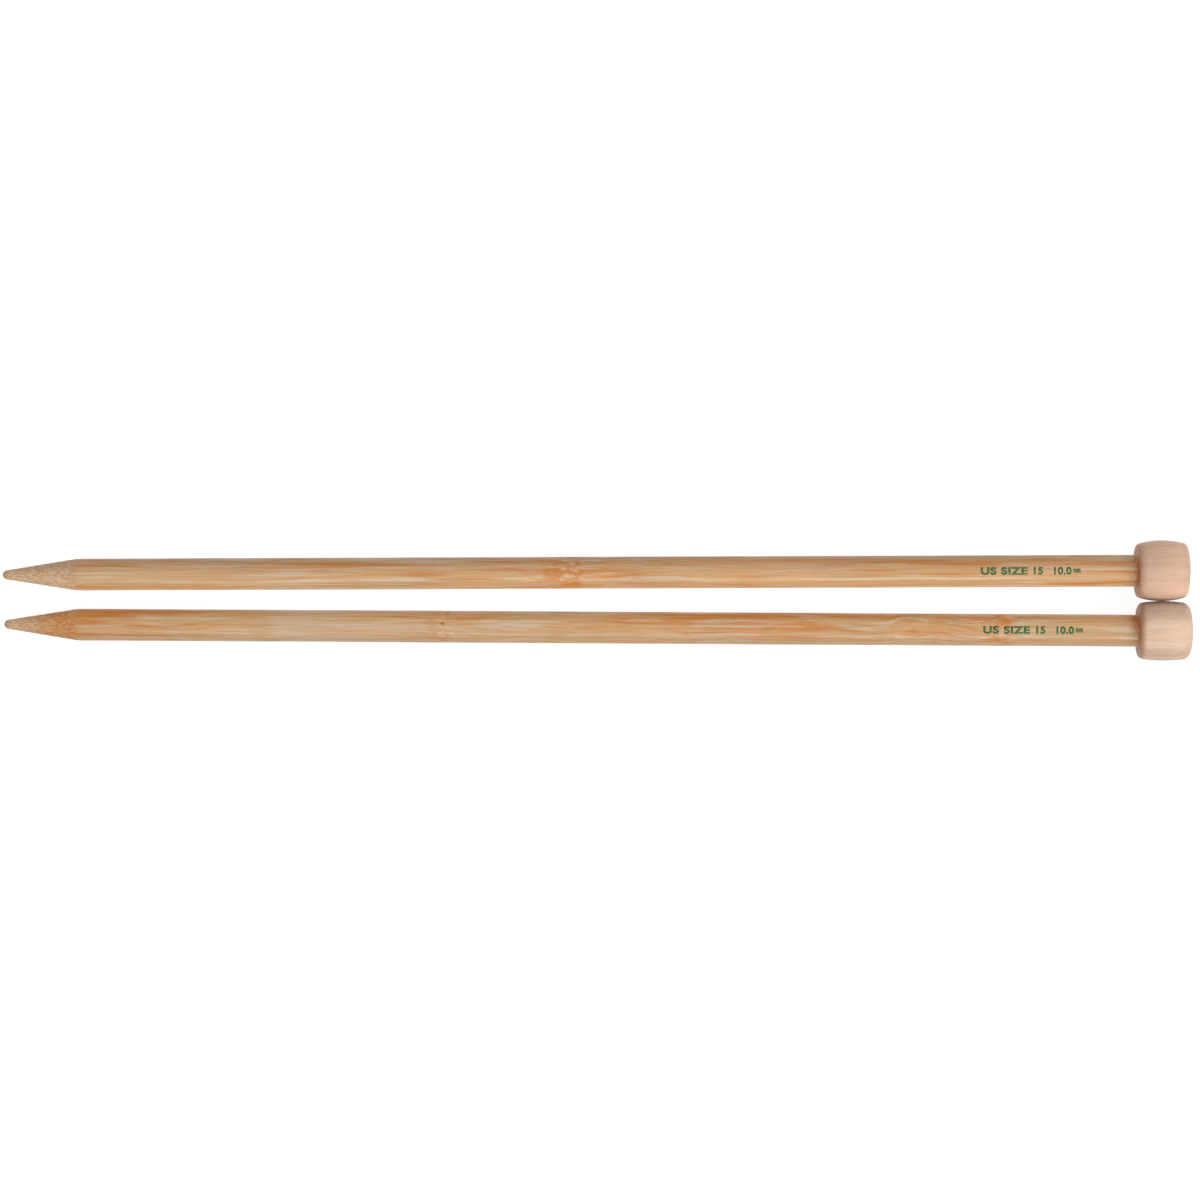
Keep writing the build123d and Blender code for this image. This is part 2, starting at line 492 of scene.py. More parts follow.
def make_knob(side):
    """A turned knob with its socket, tumbled lumps and raised grain."""
    knob = turn(f"{side}_knob", knob_outline(KNOBS[side]), spacing=0.3 * MM, steps=144)
    outside = knob.vertex_groups.new(name="outside")
    for point in knob.data.vertices:
        from_axis = math.hypot(point.co.y, point.co.z)
        seen = from_axis > SOCKET_RADIUS + 2 * MOUTH_CHAMFER or point.co.x > SOCKET_FLOOR + MM
        outside.add([point.index], float(seen), "REPLACE")
    for bumps in KNOB_RELIEFS:
        relief(knob, *bumps, KNOB_NOISE[side])
    smooth(knob, degrees=40)
    return knob


knobs = {side: make_knob(side) for side in SIDES}

# %% [markdown]
# ## The glue
#
# The knob is glued on, and the glue shows as a thin amber line where the shaft goes in. It
# filled the gap round the spigot and the mouth of the socket, and a little was squeezed out
# and wiped, so its edge on the rod is uneven. The bead is turned as one piece with the film in
# the socket, and a relief makes the edge wander.

# %% Turn the glue
BEAD_REACH = 0.5 * MM  # how far the bead runs out onto the rod
BEAD_FOOT = 0.12 * MM  # how far the bead's foot is sunk in the rod, so that no gap shows
BEAD_PIECES = 6
BEAD_FADE = 0.2 * MM  # the edge begins to wander over this length, at the mouth
GLUE_NOISE = {"right": 0.0, "left": 0.7}
mouth_radius = SOCKET_RADIUS + MOUTH_CHAMFER
glue_outline = (
    [
        (SOCKET_FLOOR, 0),
        (SOCKET_FLOOR, SOCKET_RADIUS),
        (FREE_LENGTH + MOUTH_CHAMFER, SOCKET_RADIUS),
        (FREE_LENGTH, mouth_radius),
    ]
    + [
        (
            FREE_LENGTH - BEAD_REACH * step / BEAD_PIECES,
            ROD_RADIUS + (mouth_radius - ROD_RADIUS) * (1 - step / BEAD_PIECES) ** 2,
        )
        for step in range(1, BEAD_PIECES + 1)
    ]
    + [
        (FREE_LENGTH - BEAD_REACH, ROD_RADIUS - BEAD_FOOT),
        (FREE_LENGTH, ROD_RADIUS - BEAD_FOOT),
        (FREE_LENGTH, SPIGOT_RADIUS),
        (SPIGOT_END - SPIGOT_CHAMFER, SPIGOT_RADIUS),
        (SPIGOT_END, SPIGOT_RADIUS - SPIGOT_CHAMFER),
        (SPIGOT_END, 0),
    ]
)


def make_glue(side):
    """The film in the socket and the bead at its mouth, with an uneven edge."""
    glue = turn(f"{side}_glue", glue_outline, spacing=0.5 * MM, steps=96)
    weight_along(glue, "bead", lambda x: (FREE_LENGTH - BEAD_FADE / 2 - x) / BEAD_FADE)
    relief(glue, "squeeze_out", 5, 1.6, 0.12, "bead", GLUE_NOISE[side])
    smooth(glue, degrees=50)
    return glue


glues = {side: make_glue(side) for side in SIDES}

# %% [markdown]
# ## The printed size
#
# The size is printed in one thin coat of green ink, in millimetres and as the matching size
# number. Text is made a mesh, scaled, cut into narrow bands so that it can bend, and dropped
# straight down onto the finished rod by Shrinkwrap. Solidify gives the coat its thickness.

# %% Print the size
PRINT_START = {"right": 306.6 * MM, "left": 306.9 * MM}
PRINT_MIDDLE = 0.05 * MM  # off the top line of the rod, across it
WORDS = [
    # (text, start, width and height in millimetres, thickening of the strokes)
    ("US SIZE", 0.0, 14.6, 2.4, 0.046),
    ("15", 16.5, 2.9, 2.4, 0.046),
    ("10.0", 22.8, 5.5, 2.4, 0.046),
    ("mm", 28.8, 2.3, 1.3, 0.058),
]
PRINT_REACH = 1.6 * MM  # the words lie within this distance from the top line
BAND = 0.16 * MM
INK_LIFT = 0.018 * MM
INK_COAT = 0.012 * MM


def make_word(text, start, width, height, thickening):
    """One word as a flat mesh above the rod, scaled to its width and height."""
    let_go()
    bpy.ops.object.text_add(location=(0, 0, 0))
    word = bpy.context.object
    word.data.body = text
    word.data.offset = thickening
    word.data.space_character = 1.1
    bpy.context.view_layer.update()
    bpy.ops.object.convert(target="MESH")
    word = bpy.context.object
    low = [min(point.co[axis] for point in word.data.vertices) for axis in (0, 1)]
    high = [max(point.co[axis] for point in word.data.vertices) for axis in (0, 1)]
    bpy.ops.object.mode_set(mode="EDIT")
    bpy.ops.mesh.select_all(action="SELECT")
    bpy.ops.transform.translate(value=(-low[0], -(low[1] + high[1]) / 2, 0))
    scale = (width * MM / (high[0] - low[0]), height * MM / (high[1] - low[1]), 1)
    bpy.ops.transform.resize(value=scale, center_override=(0, 0, 0))
    bpy.ops.transform.translate(value=(start * MM, 0, 2 * ROD_RADIUS))
    bpy.ops.object.mode_set(mode="OBJECT")
    return word


def make_print(side):
    """All the words on one rod, bent round it."""
    words = [make_word(*word) for word in WORDS]
    let_go()
    for word in words:
        word.select_set(True)
    bpy.context.view_layer.objects.active = words[0]
    bpy.ops.object.join()
    ink = bpy.context.object
    ink.name = ink.data.name = f"{side}_size_print"
    bpy.ops.object.mode_set(mode="EDIT")
    bpy.ops.mesh.select_all(action="SELECT")
    bpy.ops.transform.translate(value=(PRINT_START[side], PRINT_MIDDLE, 0))
    across = -PRINT_REACH
    while across < PRINT_REACH:
        bpy.ops.mesh.select_all(action="SELECT")
        bpy.ops.mesh.bisect(plane_co=(0, across, 0), plane_no=(0, 1, 0))
        across += BAND
    bpy.ops.mesh.select_all(action="SELECT")
    bpy.ops.mesh.remove_doubles(threshold=0.001 * MM)
    bpy.ops.object.mode_set(mode="OBJECT")
    down = {
        "wrap_method": "PROJECT",
        "use_project_z": True,
        "use_negative_direction": True,
        "use_positive_direction": False,
    }
    modify(ink, "SHRINKWRAP", target=shafts[side], offset=INK_LIFT, **down)
    modify(ink, "SOLIDIFY", thickness=INK_COAT, offset=1)
    print(ink.name, len(ink.data.polygons), "faces")
    return ink


prints = {side: make_print(side) for side in SIDES}

# %% [markdown]
# ## Laying the pieces in place
#
# Its needle's matrix lays each piece down, and applying the transform puts the place in the mesh.
# Each piece rides on its needle's body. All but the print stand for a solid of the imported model.


# %% Lay the pieces down
def lay(piece, side):
    """Put a piece in its needle's place, on its needle's body."""
    take(piece)
    piece.matrix_world = places[side]
    bpy.ops.object.transform_apply(location=True, rotation=True, scale=True)
    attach(piece, f"{side}_needle")


for side in SIDES:
    for piece in (shafts[side], knobs[side], glues[side], prints[side]):
        lay(piece, side)
    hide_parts(f"{side}_needle_shaft")
    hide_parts(f"{side}_needle_knob")
    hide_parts(f"{side}_needle_glue")
left_edge = max(point.co.y for point in knobs["left"].data.vertices)
right_edge = min(point.co.y for point in knobs["right"].data.vertices)
print("gap between the knobs, seen from above:", round((right_edge - left_edge) / MM, 3), "mm")

# %% [markdown]
# ## Shader tools
#
# Materials are node trees. These helpers add a node, feed its sockets with values or with other
# sockets, and give short names to sums, smooth steps and mixes. Colours are written from 0 to
# 255, as on a paint chart, and turned into linear values. All the helpers work on one open tree,
# so a line of shading stays short.


# %% Helpers for node trees
def open_tree(opened):
    """Make a node tree the one that all the helpers work on."""
    global tree
    tree = opened


def feed(socket, value):
    """Link a socket to another socket, or set its value."""
    if isinstance(value, bpy.types.NodeSocket):
        tree.links.new(value, socket)
    else:
        socket.default_value = value


def add_node(kind, inputs, **settings):
    """Add a shader node with its settings and its inputs."""
    made = tree.nodes.new(f"ShaderNode{kind}")
    for name, value in settings.items():
        setattr(made, name, value)
    for socket, value in inputs.items():
        feed(made.inputs[socket], value)
    return made


def maths(operation, first, second):
    """One number worked out from two others."""
    return add_node("Math", {0: first, 1: second}, operation=operation).outputs[0]


def plus(first, second):
    """The sum of two numbers."""
    return maths("ADD", first, second)


def times(first, second):
    """The product of two numbers."""
    return maths("MULTIPLY", first, second)


def vectors(operation, first, second=(0, 0, 0)):
    """A vector, or for LENGTH a number, worked out from vectors."""
    made = add_node("VectorMath", {0: first, 1: second}, operation=operation)
    return made.outputs["Value" if operation == "LENGTH" else "Vector"]


def vector(x, other):
    """A vector made of a number for X and another one for both Y and Z."""
    return add_node("CombineXYZ", {0: x, 1: other, 2: other}).outputs[0]


def noise(place, scale, detail):
    """A cloudy noise: one value as `Fac`, and three unlike values as `Color`."""
    inputs = {"Vector": place, "Scale": scale, "Detail": detail}
    return add_node("TexNoise", inputs).outputs


def step_up(value, low, high, result_low=0.0, result_high=1.0):
    """A smooth rise from one result to another as a value goes from low to high."""
    inputs = {"Value": value, 1: low, 2: high, 3: result_low, 4: result_high}
    return add_node("MapRange", inputs, interpolation_type="SMOOTHSTEP").outputs[0]


def between(value, low, high, soft):
    """A mask that is 1 from low to high, with soft edges."""
    rise = step_up(value, low - soft, low)
    fall = step_up(value, high, high + soft, 1.0, 0.0)
    return times(rise, fall)


def mix_colours(factor, first, second, blend="MIX"):
    """Mix two colours by a factor."""
    inputs = {0: factor, 6: first, 7: second}
    made = add_node("Mix", inputs, data_type="RGBA", blend_type=blend)
    return made.outputs[2]


def cover(colour, mask, strength, top):
    """Lay a second colour over the first, where a mask says so and as strongly as told."""
    return mix_colours(times(mask, strength), colour, top)


def chart(red, green, blue):
    """A colour from 0 to 255, as a linear colour with full alpha."""

    def linear(value):
        value /= 255
        return value / 12.92 if value <= 0.04045 else ((value + 0.055) / 1.055) ** 2.4

    return (linear(red), linear(green), linear(blue), 1.0)


def new_group(name, takes, gives):
    """Open a node group, with (name, type, value) inputs and (name, type) outputs."""
    open_tree(bpy.data.node_groups.new(name, "ShaderNodeTree"))
    for socket, kind, value in takes:
        made = tree.interface.new_socket(socket, in_out="INPUT", socket_type=kind)
        if value is not None:
            made.default_value = value
    for socket, kind in gives:
        tree.interface.new_socket(socket, in_out="OUTPUT", socket_type=kind)
    return tree.nodes.new("NodeGroupInput").outputs, tree.nodes.new("NodeGroupOutput").inputs


def use_group(group, inputs):
    """Place a node group in the open tree."""
    made = tree.nodes.new("ShaderNodeGroup")
    made.node_tree = group
    for socket, value in inputs.items():
        feed(made.inputs[socket], value)
    return made.outputs


def new_material(name):
    """A material whose empty node tree is open."""
    material = bpy.data.materials.new(name)
    material.use_nodes = True
    material.node_tree.nodes.clear()
    open_tree(material.node_tree)
    return material


def bumpy(height, strength, distance):
    """A normal that leans with a height, which is `distance` millimetres at its full value."""
    inputs = {"Strength": strength, "Distance": distance * MM, "Height": height}
    return add_node("Bump", inputs).outputs[0]


def finish_material(material, piece, inputs):
    """Give the open material its surface and put it on a piece."""
    surface = add_node("BsdfPrincipled", inputs)
    output = tree.nodes.new("ShaderNodeOutputMaterial")
    tree.links.new(surface.outputs[0], output.inputs["Surface"])
    piece.data.materials.clear()
    piece.data.materials.append(material)
    print(material.name, len(tree.nodes), "nodes")


NUMBER, VECTOR = "NodeSocketFloat", "NodeSocketVector"
HALF = (0.5, 0.5, 0.5)  # the middle of a noise's three values

# %% [markdown]
# ### Long grain
#
# All wood here has fibres that run along the needle. This group is a noise that is stretched
# along X and is solid: it goes right through the piece. On the rod's side it makes long
# streaks, and where the point's taper cuts across the fibres it makes short dashes, as in real
# bamboo. A slow second noise bends the streaks, by `Wander` millimetres.


# %% The long grain group
BENDS = (1 / 26, 1 / 7, 1 / 7)  # how closely the bends follow each other, per millimetre


def make_long_grain():
    """Streaks along X, of a length and a width in millimetres."""
    takes, gives = new_group(
        "long_grain",
        [("Vector", VECTOR, None)]
        + [(name, NUMBER, 1.0) for name in ("Length", "Width", "Wander")]
        + [("Shift", NUMBER, 0.0)],
        [("Streak", NUMBER)],
    )
    shift = vector(takes["Shift"], takes["Shift"])
    moved = vectors("ADD", takes["Vector"], shift)
    slow = noise(vectors("MULTIPLY", moved, BENDS), 1.0, 1.5)
    lean = vectors("SUBTRACT", slow["Color"], HALF)
    wander = vector(0.0, takes["Wander"])
    bent = vectors("ADD", moved, vectors("MULTIPLY", lean, wander))
    along = maths("DIVIDE", 1.0, takes["Length"])
    across = maths("DIVIDE", 1.0, takes["Width"])
    place = vectors("MULTIPLY", bent, vector(along, across))
    feed(gives["Streak"], noise(place, 1.0, 2.5)["Fac"])
    return tree


long_grain = make_long_grain()


def streak(space, length, width, wander, shift=0.0):
    """The long grain of a piece, as a value from 0 to 1."""
    inputs = {"Vector": space, "Length": length, "Width": width, "Wander": wander, "Shift": shift}
    return use_group(long_grain, inputs)["Streak"]


# %% [markdown]
# ### Fine fibres
#
# Up close the surface is a mat of hair-fine fibres with dark pores between them. The group
# gives a height for a Bump node and a mask of the pores. A second, rounder noise breaks the
# pores up, so that they come and go along the fibres.


# %% The fine fibres group
def make_fine_fibres():
    """Hair-fine fibres along X and the pores between them."""
    takes, gives = new_group(
        "fine_fibres",
        [("Vector", VECTOR, None), ("Fibre Width", NUMBER, 0.2), ("Pore Length", NUMBER, 3.0)],
        [("Height", NUMBER), ("Pores", NUMBER)],
    )
    width = takes["Fibre Width"]
    pore_width = times(width, 1.6)
    pores = streak(takes["Vector"], takes["Pore Length"], pore_width, 0.2, 31.0)
    feed(gives["Height"], streak(takes["Vector"], 14.0, width, 0.3))
    feed(gives["Pores"], step_up(pores, 0.42, 0.30))
    return tree


fine_fibres = make_fine_fibres()

# %% [markdown]
# ### Handling
#
# Wood that is handled is not equally shiny: palms polish it in patches and leave some of it
# dull. This group gives a patchy mask, which the materials use for roughness and for a slight
# darkening.


# %% The handling group
def make_handling():
    """Soft patches of a size in millimetres."""
    takes, gives = new_group(
        "handling",
        [("Vector", VECTOR, None), ("Patch", NUMBER, 12.0), ("Shift", NUMBER, 0.0)],
        [("Polish", NUMBER)],
    )
    shift = vector(takes["Shift"], takes["Shift"])
    size = vector(takes["Patch"], takes["Patch"])
    place = vectors("DIVIDE", vectors("ADD", takes["Vector"], shift), size)
    patches = noise(place, 1.0, 4.0)["Fac"]
    feed(gives["Polish"], step_up(patches, 0.35, 0.65))
    return tree


handling = make_handling()
print("groups:", [group.name for group in bpy.data.node_groups])

# %% [markdown]
# ### Rim wear
#
# The round rims of a knob are what fingers and tables rub, so they are a little darker and
# shinier. The mask is high where the surface is both close to one end of the knob and far from
# its axis.


# %% The rim wear group
def make_rim_wear():
    """A mask of the two rims of a knob that lies along X."""
    takes, gives = new_group(
        "rim_wear",
        [("Vector", VECTOR, None), ("Near End", NUMBER, 0.0), ("Far End", NUMBER, 16.0)],
        [("Wear", NUMBER)],
    )
    parts = add_node("SeparateXYZ", {0: takes["Vector"]}).outputs
    from_axis = vectors("LENGTH", vectors("MULTIPLY", takes["Vector"], (0, 1, 1)))
    near = maths("SUBTRACT", parts["X"], takes["Near End"])
    far = maths("SUBTRACT", takes["Far End"], parts["X"])
    uneven = noise(takes["Vector"], 0.5, 3.0)["Fac"]
    ragged = plus(maths("MINIMUM", near, far), uneven)
    close = step_up(ragged, 3.0, 1.2)
    outer = step_up(from_axis, 5.8, 7.6)
    feed(gives["Wear"], times(close, outer))
    return tree


rim_wear = make_rim_wear()

# %% [markdown]
# ## Bamboo
#
# Each rod has its own piece of bamboo. A Mapping node turns the pattern to lie along the rod,
# and counts in millimetres from the tip. The colour starts from a warm tan and takes long
# grey-green streaks, orange ones and pale silvery ones. Then come the marks of this rod: an
# orange mottling and pale flecks at each node, dark pits, and a brown mark by the knob that is
# partly a glue stain and partly painted shade. The point is sanded and not waxed, so it is
# duller, and its cut fibres show more. Over all the colours goes a painted light and shade:
# each rod is painted lighter on one side than the other, and a little lighter towards both sides.

# %% Colours of the bamboo
TAN = chart(168, 130, 88)
ORANGE = chart(164, 100, 34)
PALE = chart(169, 150, 126)
GREY_GREEN = chart(150, 126, 92)
PORE_BROWN = chart(118, 78, 44)
NODE_ORANGE = chart(162, 94, 30)
NODE_PALE = chart(182, 156, 128)
PIT_BROWN = chart(116, 64, 24)
# partly a glue stain and partly painted shade, on the rod beside the knob
STAIN_AND_SHADE_BROWN = chart(138, 72, 14)
NOSE_BROWN = chart(132, 90, 54)
FINE_SHADE = chart(238, 231, 219)  # what the fine streaks multiply the colour by
CUT_DARK = chart(162, 120, 80)
CUT_LIGHT = chart(176, 160, 137)
CUT_WARM_DARK = chart(154, 94, 40)
CUT_WARM_LIGHT = chart(176, 133, 90)

WARM_SIDE = 0.016  # how much more orange the +Y side of a rod is, per millimetre
# painted light and shade across each rod: its value on the top line and its lift to both sides
PAINTED_TOP_LIGHT = 0.977  # how light the wood is on the top line of a rod
PAINTED_SIDE_LIFT = 0.0023  # how much lighter it is towards both sides, per square millimetre

STREAKS = {
    # (length, width, shift, noise where a streak begins, noise where it is full)
    "grey": (52.0, 2.0, 59.0, 0.52, 0.70),
    "orange": (42.0, 1.6, 3.0, 0.49, 0.66),
    "pale": (34.0, 1.2, 17.0, 0.52, 0.69),
    "fine": (22.0, 0.45, 71.0, 0.30, 0.62),
}
PIT_SPOT = (1.2, 0.8)  # length and width of the dark spot of a pit, in widths of the pit
BAMBOO_ROUGHNESS = (0.50, 0.40)  # where it is least and where it is most polished
BAMBOO_WAX = (0.16, 0.36)  # weight of the coat, likewise

BAMBOO = {
    "right": {
        "shift": 0,  # of the noises, so that no two rods are alike
        # nodes are (from, to, soft start, strength), in millimetres from the tip
        "nodes": [(173, 182.2, 7, 1)],
        # the other windows are (from, to, softness, amount), where the amount is added to the
        # wander of the streaks, to how much of the wood is orange, or to how much is pale
        "wavy": [(168, 226, 12, 1.8), (250, 356, 16, -0.6)],
        "warm": [(92, 176, 20, 0.02), (24, 90, 12, -0.035)],
        "pale": [(8, 92, 14, 0.06), (100, 168, 12, 0.035), (346, 356, 8, 0.05)],
        # painted light and shade: how much lighter the rod is painted towards +Y, per millimetre
        "painted_light": -0.027,  # how much the wood lightens towards +Y, per millimetre
        "cut": (17, 30),  # where the cut fibres of the point turn from pale to orange
        # the mark by the knob is partly a glue stain and partly painted shade
        "stain_and_shade": (1.7, 0.50, 0.55),  # (reach from the knob, strength on the -Y and the +Y side)
    },
    "left": {
        "shift": 47,
        "nodes": [(135.6, 140, 4, 0.6), (310.6, 317, 5, 0.75)],
        "wavy": [(20, 62, 12, 2.4), (134, 276, 16, 1.8), (282, 314, 7, 6.5)],
        "warm": [
            (15, 52, 6, 0.11), (62, 168, 12, -0.09), (176, 190, 6, -0.06), (212, 252, 10, 0.075),
            (316, 352, 10, -0.07),
        ],
        "pale": [
            (60, 168, 12, 0.04), (88, 122, 8, 0.10), (255, 300, 10, 0.03), (316, 352, 10, 0.05),
        ],
        "painted_light": 0.037,
        "cut": (3, 19),
        "stain_and_shade": (4.2, 0.12, 0.90),
    },
}


# %% The bamboo of a rod
def rod_space(side):
    """Coordinates in millimetres along a needle, with the tip at the origin."""
    place = places[side]
    inputs = {
        "Vector": add_node("TexCoord", {}).outputs["Object"],
        "Location": place.translation,
        "Rotation": place.to_euler("XYZ"),
        "Scale": (MM, MM, MM),
    }
    return add_node("Mapping", inputs, vector_type="TEXTURE").outputs[0]


def windows(along, value, stretches):
    """A value that is raised or lowered over stretches of a rod."""
    for start, end, soft, amount in stretches:
        stretch = between(along, start, end, soft)
        value = plus(times(stretch, amount), value)
    return value


def streaks(space, kind, look, wander, more=0.0):
    """A mask of one kind of streak; `more` makes more of them."""
    length, width, shift, low, high = STREAKS[kind]
    grain = streak(space, length, width, wander, look["shift"] + shift)
    return step_up(plus(grain, more), low, high)


def streaky_wood(space, parts, look, pores):
    """The plain wood of a rod, with its streaks and its pores."""
    along = parts["X"]
    wander = windows(along, 0.9, look["wavy"])
    warmth = windows(along, times(parts["Y"], WARM_SIDE), look["warm"])
    paleness = windows(along, 0.0, look["pale"])
    colour = cover(TAN, streaks(space, "grey", look, wander), 0.60, GREY_GREEN)
    orange = streaks(space, "orange", look, wander, warmth)
    colour = cover(colour, orange, 0.80, ORANGE)
    pale = streaks(space, "pale", look, wander, paleness)
    colour = cover(colour, pale, 0.74, PALE)
    darker = mix_colours(1.0, colour, FINE_SHADE, "MULTIPLY")
    colour = mix_colours(streaks(space, "fine", look, wander), darker, colour)
    return cover(colour, pores, 0.20, PORE_BROWN)


# %% [markdown]
# The marks come next. A node's mottling is a noise that shows only near the node. The single
# spots are round in a space that is squeezed to their length and width, and a rough noise makes
# their edges uneven.


# %% The marks in the bamboo's colour
def node_marks(space, along, nodes):
    """Masks of the orange and the pale patches of the nodes, and of how close a node is."""
    ragged = plus(along, times(noise(space, 0.7, 2.0)["Fac"], 3.0))
    near = 0.0
    for start, end, soft, strength in nodes:
        rise = step_up(ragged, start - soft + 1.5, start + 1.5)
        fall = step_up(ragged, end + 0.8, end + 2.4, 1.0, 0.0)
        near = maths("MAXIMUM", times(times(rise, fall), strength), near)
    patch_place = vectors("MULTIPLY", space, (1 / 2.6, 1 / 1.1, 1 / 1.1))
    patches = noise(patch_place, 1.0, 1.0)["Fac"]
    dark = times(step_up(patches, 0.44, 0.68), near)
    light = times(step_up(patches, 0.48, 0.26), near)
    return dark, light, near


def spot_marks(space, spots):
    """A mask of small uneven marks on a rod, each with its place, its length and its width."""
    push = vectors("SUBTRACT", noise(space, 0.9, 2.0)["Color"], HALF)
    uneven = vectors("ADD", space, push)
    mask = 0.0
    for along, degrees, length, width in spots:
        offset = vectors("SUBTRACT", uneven, on_rod(along, degrees, ROD_RADIUS / MM))
        shape = (2 / length, 2 / width, 2 / width)
        distance = vectors("LENGTH", vectors("MULTIPLY", offset, shape))
        mask = maths("MAXIMUM", step_up(distance, 1.25, 0.35), mask)
    return mask


def add_marks(space, along, side, colour):
    """Colour the nodes, patches, flecks and pits, and say how close a node is."""
    dark, light, near = node_marks(space, along, BAMBOO[side]["nodes"])
    long, wide = PIT_SPOT
    pits = [(place, angle, long * width, wide * width) for place, angle, width in PITS[side]]
    colour = cover(colour, near, 0.15, ORANGE)
    colour = cover(colour, dark, 0.55, NODE_ORANGE)
    colour = cover(colour, light, 0.45, NODE_PALE)
    colour = cover(colour, spot_marks(space, PATCHES[side]), 0.80, NODE_ORANGE)
    colour = cover(colour, spot_marks(space, FLECKS[side]), 0.50, NODE_PALE)
    return cover(colour, spot_marks(space, pits), 0.65, PIT_BROWN), near


def add_stain_and_shade(space, parts, stain_and_shade, colour):
    """Brown the rod beside its knob as a glue stain and painted shade, smeared, stronger on one
    side.
    """
    reach, near_strength, far_strength = stain_and_shade
    strength = step_up(parts["Y"], -2.5, 1.5, near_strength, far_strength)
    smear = times(noise(space, 0.55, 3.0)["Fac"], 2.4)
    full = FREE_LENGTH / MM + 1.2
    mask = step_up(plus(parts["X"], smear), full - reach, full)
    return cover(colour, mask, strength, STAIN_AND_SHADE_BROWN)


def add_cut_point(space, along, cut, colour):
    """Colour the sanded point, and give the masks of the point and of its nose."""
    point = step_up(along, TAPER_LENGTH / MM - 1.5, TAPER_LENGTH / MM + 1.0, 1.0, 0.0)
    nose = step_up(along, 3.2, 0.6)
    dashes = step_up(streak(space, 1.5, 0.38, 0.1, 5.0), 0.38, 0.60)
    pale_cut = mix_colours(dashes, CUT_DARK, CUT_LIGHT)
    warm_cut = mix_colours(dashes, CUT_WARM_DARK, CUT_WARM_LIGHT)
    fibres = mix_colours(step_up(along, *cut), pale_cut, warm_cut)
    colour = cover(colour, point, 0.74, fibres)
    return cover(colour, nose, 0.20, NOSE_BROWN), point, nose


# %% [markdown]
# A painted light and shade from side to side goes over all the colours. Pores and the sanded
# point make the surface rougher and the rubbed nose smoother, and the wax is thin on the point
# and at the nodes.


# %% The material of a rod
def painted_light_across(across, top, slope, bow):
    """Painted light and shade: its value on the top line, and its changes towards the sides."""
    leaning = plus(times(across, slope), top)
    return plus(leaning, times(times(across, across), bow))


def lighten(colour, gain):
    """A colour with its lightness multiplied."""
    return add_node("HueSaturation", {"Color": colour, "Value": gain}).outputs[0]


def make_bamboo(side):
    """The material of one rod."""
    look = BAMBOO[side]
    bamboo = new_material(f"{side}_bamboo")
    space = rod_space(side)
    parts = add_node("SeparateXYZ", {0: space}).outputs
    fibres = use_group(fine_fibres, {"Vector": space, "Fibre Width": 0.22})
    pores = fibres["Pores"]
    patches = use_group(handling, {"Vector": space, "Patch": 14.0, "Shift": look["shift"]})
    polish = patches["Polish"]

    colour = streaky_wood(space, parts, look, pores)
    colour, near = add_marks(space, parts["X"], side, colour)
    colour = add_stain_and_shade(space, parts, look["stain_and_shade"], colour)
    colour, point, nose = add_cut_point(space, parts["X"], look["cut"], colour)
    # painted light and shade across the rod, which goes over all its colours
    painted_light = painted_light_across(parts["Y"], PAINTED_TOP_LIGHT, look["painted_light"], PAINTED_SIDE_LIFT)

    roughness = step_up(polish, 0.0, 1.0, *BAMBOO_ROUGHNESS)
    for mask, amount in ((point, 0.24), (pores, 0.08), (nose, -0.16)):
        roughness = plus(roughness, times(mask, amount))
    wax = step_up(polish, 0.0, 1.0, *BAMBOO_WAX)
    wax = times(wax, step_up(point, 0.0, 1.0, 1.0, 0.12))
    wax = times(wax, step_up(near, 0.0, 1.0, 1.0, 0.25))
    height = plus(fibres["Height"], times(pores, -0.6))
    inputs = {
        "Base Color": lighten(colour, painted_light),
        "Roughness": roughness,
        "Coat Weight": wax,
        "Coat Roughness": 0.26,
        "Specular IOR Level": 0.3,
        "Normal": bumpy(height, 0.4, 0.04),
    }
    finish_material(bamboo, shafts[side], inputs)


for side in SIDES:
    make_bamboo(side)

# %% [markdown]
# ## Knob wood
#
# The knobs are turned from a pale pinkish wood with a close, quiet grain. The same grain groups
# are used with small contrasts, and the rim wear goes on top. The face round the shaft is browned,
# partly by glue and partly as painted shade, and the side where the two knobs meet has a faint
# painted brown shade. Over each knob lies a painted light and shade: the right one is darker on
# top and the left one towards its sides, and both are painted lighter towards the far end.

# %% The wood of a knob
KNOB_NEAR = FREE_LENGTH / MM
KNOB_FAR = (FREE_LENGTH + KNOB_LENGTH) / MM
KNOB_COLOURS = {
    # (middle, light, dark)
    "right": (chart(173, 142, 121), chart(182, 151, 131), chart(156, 116, 90)),
    "left": (chart(173, 148, 127), chart(183, 158, 139), chart(150, 118, 94)),
}
# partly a glue stain and partly painted shade, on the face round the shaft
KNOB_STAIN_AND_SHADE = chart(142, 92, 52)  # on the face round the shaft
# painted shade where the two knobs meet
CONTACT_SHADE_BROWN = chart(150, 88, 44)  # where the two knobs touch and rub
TOWARDS_OTHER = {"right": -1.0, "left": 1.0}  # along Y
# painted light and shade over each knob: lightness on the top line, its change per millimetre
# towards +Y, and per square millimetre
KNOB_PAINTED_LIGHT = {"right": (0.885, 0.002, 0.0045), "left": (1.035, 0.002, -0.0038)}
# the painted light towards the sides stays between these
LIGHTEST_PAINTED_LIGHT, DARKEST_PAINTED_LIGHT = 1.06, 0.84  # the tone towards the sides stays between these
# painted light: the far half of a knob is painted lighter
FAR_END_PAINTED_LIGHT = 1.05  # how much lighter the far half of a knob is
KNOB_ROUGHNESS = (0.58, 0.48)  # where it is least and where it is most polished


